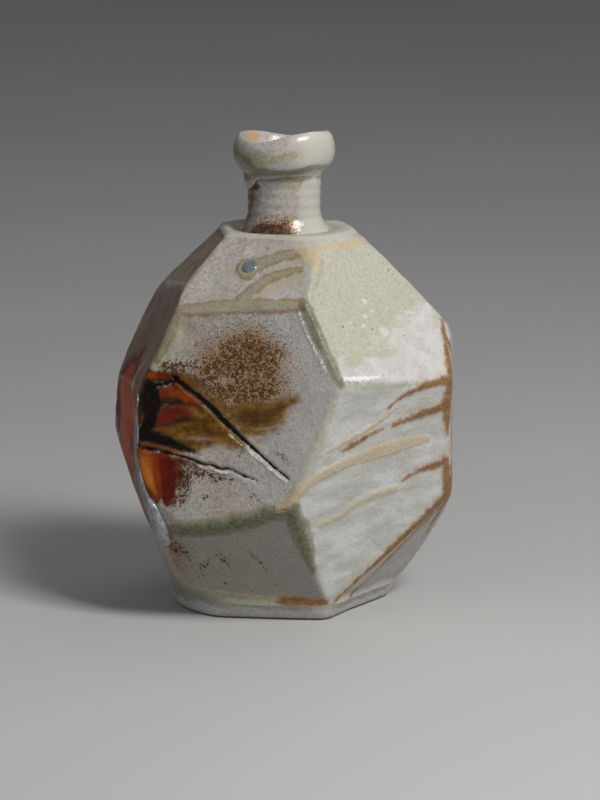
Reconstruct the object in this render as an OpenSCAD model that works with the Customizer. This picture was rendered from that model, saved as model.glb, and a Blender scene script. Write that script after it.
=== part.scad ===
// Faceted stoneware sake bottle, in millimetres.
// A thrown egg-shaped body, closed by a foot slab, is cut with flat facets,
// and carries a turned neck with a thick, lopsided rolled rim.
// +Z is up. The origin is the centre of the foot, on the table. -Y is the front.

/* [Body] */
// Diameter of the thrown form before the facets are cut
thrown_d = 113; // [112:0.5:115]
// Height of the widest part of the thrown form
belly_z = 59.5; // [57:0.5:62]
// Height of the flat top of the shoulder
shoulder_z = 116.5; // [115:0.5:117.5]
// Diameter of the shoulder's rim
shoulder_d = 41.4; // [40:0.2:43]
// Height of the centre from which the facets are set out
heart_z = 58; // [57:0.25:59]
// Extra depth to which every facet is cut
facet_cut = 0; // [-0.5:0.1:1]

/* [Cavity] */
// Diameter of the round cavity inside the facets
cavity_d = 75; // [70:0.5:76]
// Clay over the top of the cavity
crown_wall = 4.5; // [4:0.25:6]

/* [Foot] */
// Diameter of the foot slab before the lower facets cut its edge
foot_d = 70; // [68:0.5:71]
// Thickness of the foot slab at its edge
foot_h = 5; // [4.4:0.2:6]
// Radius that rounds the edge of the foot slab
foot_round = 2.2; // [1:0.1:2.2]
// How far the foot slab stands proud of the lower facets
foot_proud = 1.2; // [0.6:0.1:1.6]
// Diameter of the raised disc that fits up into the body
spigot_d = 48; // [44:1:50]
// Height of that raised disc
spigot_h = 2.5; // [1.5:0.25:3]

/* [Neck] */
// Outer diameter of the neck
neck_d = 22.6; // [21.6:0.2:23.6]
// Diameter of the straight bore through the neck
bore_d = 15; // [12:0.5:16]
// Length of the neck tube, from inside the body to inside the rim
neck_len = 27; // [26.5:0.25:27.5]
// Height of the upper end of the neck tube
neck_top_z = 136.5; // [136:0.25:137]
// Diameter of the flared foot of the neck
flare_d = 29; // [28:0.2:30]
// Radius of the hollow curve between the neck and its foot
flare_curve = 9; // [7:0.5:11]
// Depth of the dish in the shoulder that the neck stands in
dish_depth = 1.5; // [1:0.1:2]

/* [Rim] */
// Largest diameter of the rolled rim
rim_d = 31.6; // [30:0.2:33]
// Radius of the bulging outline of the rim
rim_curve = 14; // [13:0.5:16]
// Height of the widest part of the rim
rim_z = 138.5; // [138:0.25:139]
// Height of the mouth at its centre
mouth_z = 145.3; // [144.5:0.1:146]
// Diameter of the mouth at the top of its funnel
mouth_d = 23.6; // [20:0.2:24]

/* [Glaze deposits] */
// Radius of the rounded back of the glaze run down the left edge
run_r = 2; // [1.6:0.1:2.4]
// Radius of the large glass bead at the end of that run
bead_r = 4.6; // [4:0.1:5]
// Radius of the round glass drop on the front of the shoulder
drop_r = 4; // [3.5:0.1:4.5]
// Radius of the glass pooled at the foot of the neck
pool_r = 1.7; // [1.3:0.1:2]

/* [Hidden] */

$fn = 96;

// Colours of the bare clay and of the ash glass that the firing left on it
clay = [0.74, 0.72, 0.67];
foot_clay = [0.70, 0.71, 0.69];
rim_clay = [0.80, 0.78, 0.73];
silver_glass = [0.62, 0.66, 0.70];
teal_glass = [0.22, 0.42, 0.42];
brown_glass = [0.30, 0.15, 0.06];

// Each facet is [azimuth, tilt, reach]: azimuth in degrees from the front towards +X,
// tilt in degrees above the horizontal, reach in millimetres from the heart.
upper_facets = [
    [-22, 45, 54.3],    // front of the shoulder
    [45, 28, 49.3],     // right of the shoulder
    [103, 44, 55],
    [165, 40, 52],
    [-132, 40, 53],
    [-84, 45, 54],      // left of the shoulder, steep cut
    [-80, 26, 49.3]     // left of the shoulder, lower cut
];
middle_facets = [
    [-17, 9.5, 43.9],   // broad front facet
    [40.5, -11, 43.3],  // front right facet
    [85.5, 0, 52],
    [128, -6, 48.5],
    [178, 7, 46.5],
    [-128, 3, 47],
    [-78, 3, 49.5]
];
lower_facets = [
    [-7, -29, 53],      // front of the foot
    [56, -30, 52.5],    // right of the foot
    [120, -30, 53],
    [-170, -26, 51],
    [-128, -24, 49],
    [-84.5, -20, 51]
];
facets = concat(upper_facets, middle_facets, lower_facets);

// Block that cuts away whatever lies beyond a facet
cut_size = 160;

// The thrown form is two half ellipses that meet at the belly
thrown_r = thrown_d / 2;
shoulder_r = shoulder_d / 2;
foot_r = foot_d / 2;
outline_steps = 14;
crown_axis = (shoulder_z - belly_z) / sqrt(1 - pow(shoulder_r / thrown_r, 2));
hip_axis = (belly_z - foot_h) / sqrt(1 - pow(foot_r / thrown_r, 2));

// The cavity is two half ellipses that meet at the heart
cavity_r = cavity_d / 2;
spigot_r = spigot_d / 2;
floor_z = foot_h + spigot_h;
vault_axis = shoulder_z - crown_wall - heart_z;
bowl_axis = (heart_z - floor_z) / sqrt(1 - pow(spigot_r / cavity_r, 2));

neck_r = neck_d / 2;
bore_r = bore_d / 2;
flare_r = flare_d / 2;
flare_edge = 0.8;
seat_z = shoulder_z - dish_depth;
tenon_z = neck_top_z - neck_len;
dish_slope = 2;

// The rim is cut off along two tilted planes: [azimuth of the high side, slope in degrees]
rim_r = rim_d / 2;
rim_under_z = 132.3;
rim_under_lean = [65, 13.5];
rim_top_lean = [50, 6];
rim_span = 40;
funnel_top_z = 150;

// Places of the glass deposits: [azimuth, height]
run_place = [-51.5, 53.6];
run_bend = 75;
run_lean = 10.5;
run_angles = [-18, 12.5];
bead_place = [-46, 28];
drop_place = [-22.8, 107.8];
pool_from = -62;
pool_sweep = 66;

// Direction that an azimuth and a tilt point in
function heading(azimuth, tilt) =
    [sin(azimuth) * cos(tilt), -cos(azimuth) * cos(tilt), sin(tilt)];

// Radius of half an ellipse with the given semi-axes, at a height above its middle
function ellipse_r(radius, axis, height) = radius * sqrt(max(0, 1 - pow(height / axis, 2)));

function thrown_radius(z) = ellipse_r(thrown_r, z > belly_z ? crown_axis : hip_axis, z - belly_z);

function cavity_radius(z) = ellipse_r(cavity_r, z > heart_z ? vault_axis : bowl_axis, z - heart_z);

// Distance from the bottle's axis to one facet
function facet_radius(facet, azimuth, z) =
    let (facing = cos(facet[1]) * cos(azimuth - facet[0]),
         reach = facet[2] - facet_cut - (z - heart_z) * sin(facet[1]))
    facing > 0.05 ? reach / facing : cut_size;

// Distance from the bottle's axis to the outside of the body
function skin_radius(azimuth, z) =
    min(thrown_radius(z), min([for (facet = facets) facet_radius(facet, azimuth, z)]));

// Point under the skin of the body
function skin_point(place, depth = 0) =
    heading(place[0], 0) * (skin_radius(place[0], place[1]) - depth) + [0, 0, place[1]];

module facet_block(facet) {
    translate([0, 0, heart_z])
        rotate([-facet[1], 0, facet[0]])
            translate([-cut_size / 2, -cut_size - facet[2] + facet_cut, -cut_size / 2])
                cube(cut_size);
}

// Outside of the body, with its facets, between the foot slab and the shoulder
module body_form() {
    heights = [for (i = [0:outline_steps]) foot_h + (shoulder_z - foot_h) * (1 - cos(180 * i / outline_steps)) / 2];
    difference() {
        rotate_extrude()
            polygon(concat(
                [[0, foot_h]],
                [for (z = heights) [thrown_radius(z), z]],
                [[0, shoulder_z]]));
        for (facet = facets)
            facet_block(facet);
    }
}

module cavity_form() {
    top_z = heart_z + vault_axis;
    heights = [for (i = [0:outline_steps]) floor_z + (top_z - floor_z) * (1 - cos(180 * i / outline_steps)) / 2];
    rotate_extrude()
        polygon(concat([[0, floor_z]], [for (z = heights) [cavity_radius(z), z]]));
}

// Shallow dish in the shoulder, around the foot of the neck
module dish_form() {
    rotate_extrude()
        polygon([
            [0, seat_z],
            [flare_r, seat_z],
            [flare_r + dish_slope, shoulder_z],
            [flare_r + dish_slope, shoulder_z + dish_depth],
            [0, shoulder_z + dish_depth]
        ]);
}

module body_wall() {
    color(clay)
        difference() {
            body_form();
            cavity_form();
            dish_form();
            translate([0, 0, tenon_z - crown_wall])
                cylinder(r = neck_r, h = shoulder_z);
            translate([0, 0, foot_h - 1])
                cylinder(r = spigot_r, h = spigot_h + 1);
            run_form();
            bead_form();
        }
}

// Round disc with a rounded lower edge
module foot_disc() {
    rotate_extrude() {
        square([foot_r - foot_round, foot_h]);
        translate([foot_r - foot_round, foot_round])
            intersection() {
                circle(foot_round);
                translate([0, -foot_round])
                    square([foot_round, foot_round]);
            }
        translate([0, foot_round])
            square([foot_r, foot_h - foot_round]);
    }
}

// Foot slab, whose edge the lower facets cut, with the raised disc that fits up into the body
module base_slab() {
    color(foot_clay) {
        difference() {
            foot_disc();
            for (facet = lower_facets)
                facet_block(facet + [0, 0, foot_proud]);
        }
        cylinder(r = spigot_r, h = floor_z);
    }
}

// Outside of the neck: a straight tube on a flared foot
module neck_form() {
    flare_drop = sqrt(pow(flare_curve, 2) - pow(neck_r + flare_curve - flare_r, 2));
    flare_top_z = seat_z + flare_edge + flare_drop;
    translate([0, 0, tenon_z])
        cylinder(r = neck_r, h = neck_len);
    rotate_extrude()
        difference() {
            translate([0, seat_z])
                square([flare_r, flare_top_z - seat_z]);
            translate([neck_r + flare_curve, flare_top_z])
                circle(flare_curve);
        }
}

module neck() {
    color(rim_clay)
        difference() {
            neck_form();
            translate([0, 0, tenon_z - 1])
                cylinder(r = bore_r, h = neck_len + 2);
        }
}

// Block above a plane that rises towards lean[0] at lean[1] degrees
module tilted_block(z, lean) {
    translate([0, 0, z])
        rotate([-lean[1], 0, lean[0]])
            translate([-rim_span / 2, -rim_span / 2, 0])
                cube(rim_span);
}

// Barrel that bulges to the rim's full width
module rim_barrel() {
    rotate_extrude()
        intersection() {
            translate([rim_r - rim_curve, rim_z])
                circle(rim_curve);
            translate([0, rim_z - rim_span / 2])
                square([rim_r, rim_span]);
        }
}

module lip_collar() {
    funnel_slope = (mouth_d / 2 - bore_r) / (mouth_z - neck_top_z);
    color(rim_clay)
        difference() {
            intersection() {
                rim_barrel();
                tilted_block(rim_under_z, rim_under_lean);
            }
            tilted_block(mouth_z, rim_top_lean);
            translate([0, 0, neck_top_z - neck_len])
                cylinder(r = neck_r, h = neck_len);
            translate([0, 0, neck_top_z - 0.01])
                cylinder(r1 = bore_r, r2 = bore_r + funnel_slope * (funnel_top_z - neck_top_z),
                         h = funnel_top_z - neck_top_z);
        }
}

// Long run of glass down the edge on the left of the front facet, bitten into the clay:
// a stretch of a large ring that leans with the edge
module run_form() {
    ring_x = skin_radius(run_place[0], run_place[1]) - 0.45 * run_r - run_bend;
    translate([0, 0, run_place[1]])
        rotate([0, 0, run_place[0] - 90])
            translate([ring_x, 0, 0])
                rotate([90 + run_lean, 0, 0])
                    rotate([0, 0, run_angles[0]])
                        rotate_extrude(angle = run_angles[1] - run_angles[0])
                            translate([run_bend, 0])
                                circle(run_r);
}

module bead_form() {
    translate(skin_point(bead_place, bead_r / 2))
        sphere(bead_r);
}

module glaze_run_side() {
    color(silver_glass)
        difference() {
            run_form();
            bead_form();
        }
}

module glaze_bead_corner() {
    color(silver_glass)
        bead_form();
}

module glaze_drop_shoulder() {
    color(teal_glass)
        difference() {
            translate(skin_point(drop_place, 0.75 * drop_r))
                sphere(drop_r);
            body_form();
        }
}

// Glass that pooled in the angle between the neck and the shoulder
module glaze_pool_neck() {
    color(brown_glass)
        difference() {
            rotate([0, 0, pool_from - 90])
                rotate_extrude(angle = pool_sweep)
                    translate([flare_r - 0.3, seat_z + flare_edge])
                        circle(pool_r);
            neck_form();
            difference() {
                body_form();
                dish_form();
            }
            translate([0, 0, tenon_z])
                cylinder(r = flare_r, h = seat_z - tenon_z);
        }
}

body_wall();
base_slab();
neck();
lip_collar();
glaze_run_side();
glaze_bead_corner();
glaze_drop_shoulder();
glaze_pool_neck();
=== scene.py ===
"""Looks of the faceted stoneware sake bottle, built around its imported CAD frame.

Places on the bottle are given as (azimuth, height): degrees from the front (-Y) towards +X,
and millimetres above the table. Shapes are worked out in millimetres and written in metres.
"""
import math

import bpy
import numpy as np
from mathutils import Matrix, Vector


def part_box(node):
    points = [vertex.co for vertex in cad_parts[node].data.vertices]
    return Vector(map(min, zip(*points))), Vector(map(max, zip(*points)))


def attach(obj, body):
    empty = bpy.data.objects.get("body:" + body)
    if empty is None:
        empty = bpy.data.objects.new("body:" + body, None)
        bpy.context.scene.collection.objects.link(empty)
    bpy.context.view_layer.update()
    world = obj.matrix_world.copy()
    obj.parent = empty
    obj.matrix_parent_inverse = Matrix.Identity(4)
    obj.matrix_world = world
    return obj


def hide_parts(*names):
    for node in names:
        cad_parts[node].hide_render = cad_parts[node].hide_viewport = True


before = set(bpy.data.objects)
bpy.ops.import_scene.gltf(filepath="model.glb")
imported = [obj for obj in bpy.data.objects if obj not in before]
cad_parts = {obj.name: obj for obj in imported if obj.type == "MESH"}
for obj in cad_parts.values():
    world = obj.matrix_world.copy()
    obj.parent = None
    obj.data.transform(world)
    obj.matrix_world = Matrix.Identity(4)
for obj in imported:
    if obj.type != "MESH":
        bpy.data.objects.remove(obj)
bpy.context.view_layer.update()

MM = 0.001
FAR = 99.0             # further than any distance on the bottle, in millimetres


# ---------------------------------------------------------------- sizes from the frame

def box_mm(node):
    low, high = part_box(node)
    return np.array(low) / MM, np.array(high) / MM


body_low, body_high = box_mm("body_wall")
slab_low, slab_high = box_mm("base_slab")
neck_low, neck_high = box_mm("neck")

foot_z = body_low[2]                 # top of the foot slab's edge
shoulder_z = body_high[2]            # flat top of the shoulder
foot_r = -slab_low[0]                # widest part of the foot slab, before the facets cut its edge
spigot_z = slab_high[2]
tenon_z = neck_low[2]
neck_top_z = neck_high[2]
flare_r = neck_high[0]
rim_r = box_mm("lip_collar")[1][0]

# Repeated from the CAD model, where a box cannot give them
belly_z = 59.5
thrown_r = 56.5
shoulder_r = 20.7
spigot_r = 24
cavity_r = 37.5
cavity_mid_z = 58
vault_axis = 54
neck_r = 11.3
bore_r = 7.5
seat_z = shoulder_z - 1.5            # floor of the dish round the neck

crown_axis = (shoulder_z - belly_z) / math.sqrt(1 - (shoulder_r / thrown_r) ** 2)
hip_axis = (belly_z - foot_z) / math.sqrt(1 - (foot_r / thrown_r) ** 2)
bowl_axis = (cavity_mid_z - spigot_z) / math.sqrt(1 - (spigot_r / cavity_r) ** 2)


def facet_planes(node, smallest=500, smallest_triangle=20, steepest=0.98):
    """Large flat faces of a CAD node that are not level, as [normal, distance from the origin]."""
    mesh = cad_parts[node].data
    mesh.calc_loop_triangles()
    points = np.empty(3 * len(mesh.vertices))
    mesh.vertices.foreach_get("co", points)
    points = points.reshape(-1, 3) / MM
    corners = np.array([list(t.vertices) for t in mesh.loop_triangles])
    a, b, c = (points[corners[:, i]] for i in range(3))
    cross = np.cross(b - a, c - a)
    area = np.linalg.norm(cross, axis=1) / 2
    solid = area > 1e-4
    a, cross, area = a[solid], cross[solid], area[solid]
    normals = cross / (2 * area[:, None])
    planes = []
    while area.max(initial=0) > smallest_triangle:
        seed = area.argmax()
        distance = normals[seed] @ a[seed]
        same = (normals @ normals[seed] > 0.99995) & (abs(a @ normals[seed] - distance) < 0.05)
        if area[same].sum() > smallest and abs(normals[seed, 2]) < steepest:
            planes.append([*normals[seed], distance])
        area[same] = 0
    planes = np.array(planes)
    return planes[:, :3], planes[:, 3]


facet_normals, facet_reach = facet_planes("body_wall")


# ---------------------------------------------------------------- the skin of the body

def heading(azimuth):
    turn = np.radians(azimuth)
    return np.stack([np.sin(turn), -np.cos(turn)], axis=-1)


def ellipse_r(radius, axis, height):
    return radius * np.sqrt(np.clip(1 - (height / axis) ** 2, 0, 1))


def thrown_radius(z):
    axis = np.where(z > belly_z, crown_axis, hip_axis)
    return ellipse_r(thrown_r, axis, z - belly_z)


def least(distances, soft):
    """Smallest of the last axis's values, with the corners between them rounded off."""
    nearest = distances.min(axis=-1, keepdims=True)
    spread = np.exp((nearest - distances) / soft).sum(axis=-1)
    return nearest[..., 0] - soft * np.log(spread)


def cut_radius(azimuth, z, round_r, chosen=slice(None), proud=0.0):
    """Distances from the bottle's axis to each chosen facet and to the round form, in the last axis."""
    facing = heading(azimuth) @ facet_normals[chosen, :2].T
    reach = facet_reach[chosen] - np.expand_dims(z, -1) * facet_normals[chosen, 2]
    reach = reach + np.expand_dims(proud, -1)
    cuts = np.where(facing > 0.05, reach / np.maximum(facing, 0.05), FAR)
    return np.concatenate([cuts, np.expand_dims(round_r, -1)], axis=-1)


SKIN_SOFT = 0.75       # rounding of the edges between facets
SKIN_FULL = 0.3        # glaze that makes up for that rounding
FOOT_SLANT = 0.55      # how fast the slab's edge draws in towards the table on the right


def skin_radius(azimuth, z):
    """Distance from the bottle's axis to its faceted skin, with softened edges."""
    return least(cut_radius(azimuth, z, thrown_radius(z)), SKIN_SOFT) + SKIN_FULL


def foot_radius(azimuth, z):
    """Outline of the foot slab: proud of the facets at the front left, slanting in on the right."""
    proud = 0.1 + 1.5 * smoothstep(np.cos(np.radians(azimuth + 30)), 0.2, 0.9)
    slant = FOOT_SLANT * smoothstep(np.sin(np.radians(azimuth)), 0.3, 0.9)
    round_r = foot_r - slant * (foot_z - z)
    lower = np.flatnonzero(facet_normals[:, 2] < -0.2)
    return least(cut_radius(azimuth, z, round_r, lower, proud), SKIN_SOFT) + SKIN_FULL


def azimuth_of(points):
    return np.degrees(np.arctan2(points[:, 0], -points[:, 1]))


def skin_point(azimuth, z):
    azimuth, z = np.broadcast_arrays(np.asarray(azimuth, float), np.asarray(z, float))
    flat = heading(azimuth) * skin_radius(azimuth, z)[..., None]
    return np.concatenate([flat, z[..., None]], axis=-1)


def skin_normal(azimuth, z, step=0.4):
    across = skin_point(azimuth + step, z) - skin_point(azimuth - step, z)
    up = skin_point(azimuth, z + step) - skin_point(azimuth, z - step)
    normal = np.cross(across, up)
    return normal / np.linalg.norm(normal, axis=-1, keepdims=True)


def edge_distance(points):
    """Distance from points on the skin to the nearest edge between two facets."""
    depth = facet_reach - points @ facet_normals.T
    own = depth.argmin(axis=1)
    lean = (facet_normals @ facet_normals.T)[own]
    gap = depth / np.sqrt(np.clip(1 - lean ** 2, 0.01, 1))
    gap[np.arange(len(points)), own] = FAR
    return gap.min(axis=1)


def facet_depth(points, azimuth, tilt):
    """How far points lie inside the facet that faces this way, negative outside it."""
    level = math.cos(math.radians(tilt))
    aim = np.array([*heading(azimuth) * level, math.sin(math.radians(tilt))])
    chosen = (facet_normals @ aim).argmax()
    depth = facet_reach - points @ facet_normals.T
    own = depth[:, chosen].copy()
    depth[:, chosen] = FAR
    return depth.min(axis=1) - own


def ripple(points, size, seed, waves=14):
    """Smooth, repeatable unevenness between about -1 and 1, with swells about this size."""
    rng = np.random.default_rng(seed)
    total = np.zeros(points.shape[:-1])
    for _ in range(waves):
        way = rng.normal(size=3)
        way *= rng.uniform(0.6, 1.5) * math.pi / (size * np.linalg.norm(way))
        total += np.sin(points @ way + rng.uniform(0, 2 * math.pi))
    return total / math.sqrt(waves)


def smoothstep(value, low, high):
    """Rises from 0 at one limit to 1 at the other, or falls where the first limit is the higher."""
    t = np.clip((value - low) / (high - low), 0, 1)
    return t * t * (3 - 2 * t)


# ---------------------------------------------------------------- painted strokes

def smoothed(path):
    """Chaikin's corner cutting, twice, which keeps both ends."""
    path = np.array(path, float)
    for _ in range(2):
        left = 0.75 * path[:-1] + 0.25 * path[1:]
        right = 0.25 * path[:-1] + 0.75 * path[1:]
        middle = np.stack([left, right], axis=1).reshape(-1, path.shape[1])
        path = np.concatenate([path[:1], middle[1:-1], path[-1:]])
    return path


def stroke_depth(points, paths, reach=9):
    """Millimetres inside strokes of (azimuth, height, half width), negative outside them."""
    best = np.full(len(points), -FAR)
    for path in paths:
        path = smoothed(path)
        line = skin_point(path[:, 0], path[:, 1])
        margin = reach + path[:, 2].max()
        close = (points > line.min(axis=0) - margin) & (points < line.max(axis=0) + margin)
        near = np.flatnonzero(close.all(axis=1))
        spots = points[near]
        depth = best[near]
        for start, end, width_a, width_b in zip(line[:-1], line[1:], path[:-1, 2], path[1:, 2]):
            along = end - start
            share = np.clip((spots - start) @ along / (along @ along), 0, 1)
            gap = np.linalg.norm(spots - start - share[:, None] * along, axis=1)
            depth = np.maximum(depth, width_a + (width_b - width_a) * share - gap)
        best[near] = depth
    return best


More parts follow.
